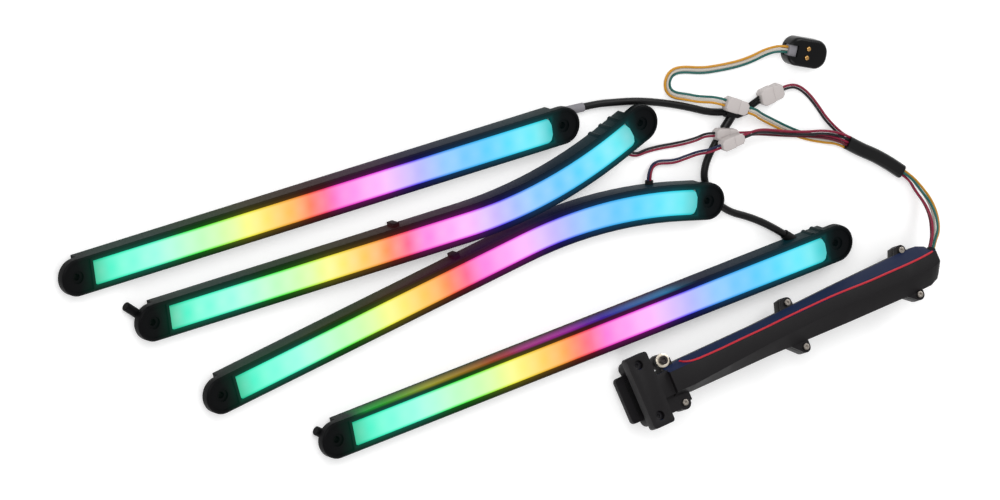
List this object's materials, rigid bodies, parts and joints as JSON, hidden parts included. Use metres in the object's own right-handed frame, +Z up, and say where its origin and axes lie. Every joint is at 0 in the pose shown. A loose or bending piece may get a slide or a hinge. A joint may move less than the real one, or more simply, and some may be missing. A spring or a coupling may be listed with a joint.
{
  "type": "bicycle tail light kit",
  "caption": "Addressable colour light bars, straight and curved, with a clamped control housing, a contact pod and their wiring harness.",
  "frame": {"origin": "centre of the bounding box of the object without its cords, at the table surface the bars lie on", "axes": "+X along the straight bar nearest the control housing, +Z up off the table, +Y from the control housing towards the other bars"},
  "size_m": [0.4814, 0.1847, 0.0266],
  "materials": {
    "black_shell": "moulded black nylon, fine grain",
    "milk_lens": "milky diffusing polycarbonate, lit from behind",
    "seal": "pale silicone bead",
    "strip_board": "white solder mask",
    "lights": "white LED packages",
    "board": "green solder mask",
    "chip": "black epoxy",
    "battery": "blue shrink film",
    "rubber": "black rubber",
    "red_lead": "red silicone insulation",
    "screw_steel": "plain steel",
    "bright_steel": "bright zinc plate",
    "contact": "plated brass",
    "white_nylon": "white nylon",
    "black_jacket": "black cable jacket",
    "wire": "coloured wire insulation",
    "shrink": "black shrink sleeve",
    "grey_block": "grey moulding"
  },
  "bodies": {
    "kit": {"bar_1_channel": "black_shell", "bar_1_seal": "seal", "bar_1_lens": "milk_lens", "bar_1_strip_board": "strip_board", "bar_1_lights": "lights", "bar_1_grommet": "grey_block", "bar_2_channel": "black_shell", "bar_2_seal": "seal", "bar_2_lens": "milk_lens", "bar_2_strip_board": "strip_board", "bar_2_lights": "lights", "bar_2_grommet": "rubber", "bar_3_channel": "black_shell", "bar_3_seal": "seal", "bar_3_lens": "milk_lens", "bar_3_strip_board": "strip_board", "bar_3_lights": "lights", "bar_3_grommet": "rubber", "bar_4_channel": "black_shell", "bar_4_seal": "seal", "bar_4_lens": "milk_lens", "bar_4_strip_board": "strip_board", "bar_4_lights": "lights", "bar_4_grommet": "rubber", "control_top_shell": "black_shell", "control_bottom_shell": "black_shell", "control_gasket": "rubber", "control_board": "board", "control_chips": "chip", "control_battery": "battery", "control_screws": "screw_steel", "nose_washer": "bright_steel", "nose_screw": "screw_steel", "end_grommet": "rubber", "red_lead": "red_lead", "clamp_plate_pad": "rubber", "clamp_bolts": "screw_steel", "pod_case": "black_shell", "pod_cover": "black_shell", "pod_board": "board", "pod_grommet": "grey_block", "connector_sockets": "white_nylon", "connector_plugs": "white_nylon", "cable_splice": "shrink", "harness_sleeve": "shrink", "cable_bar_1": "black_jacket", "cable_bar_4": "black_jacket", "bar_2_leads": "wire", "bar_3_leads": "wire", "pod_leads": "wire", "pod_trunk": "wire", "bars_trunk": "wire", "cables_trunk": "wire", "tail_wires": "wire"},
    "jaw": {"clamp_jaw": "black_shell", "clamp_jaw_pad": "rubber", "clamp_nuts": "screw_steel"},
    "contact_1": {"pod_contact_1": "contact"},
    "contact_2": {"pod_contact_2": "contact"}
  },
  "joints": [
    {"name": "jaw_slide", "type": "slide", "parent": "kit", "child": "jaw", "axis": [-0.0173, 0.3416, 0.9397], "range_m": [0, 0.001]},
    {"name": "contact_1_press", "type": "slide", "parent": "kit", "child": "contact_1", "axis": [0, 0, -1], "range_m": [0, 0.0006], "stiffness_N_per_m": 150},
    {"name": "contact_2_press", "type": "slide", "parent": "kit", "child": "contact_2", "axis": [0, 0, -1], "range_m": [0, 0.0006], "stiffness_N_per_m": 150}
  ]
}
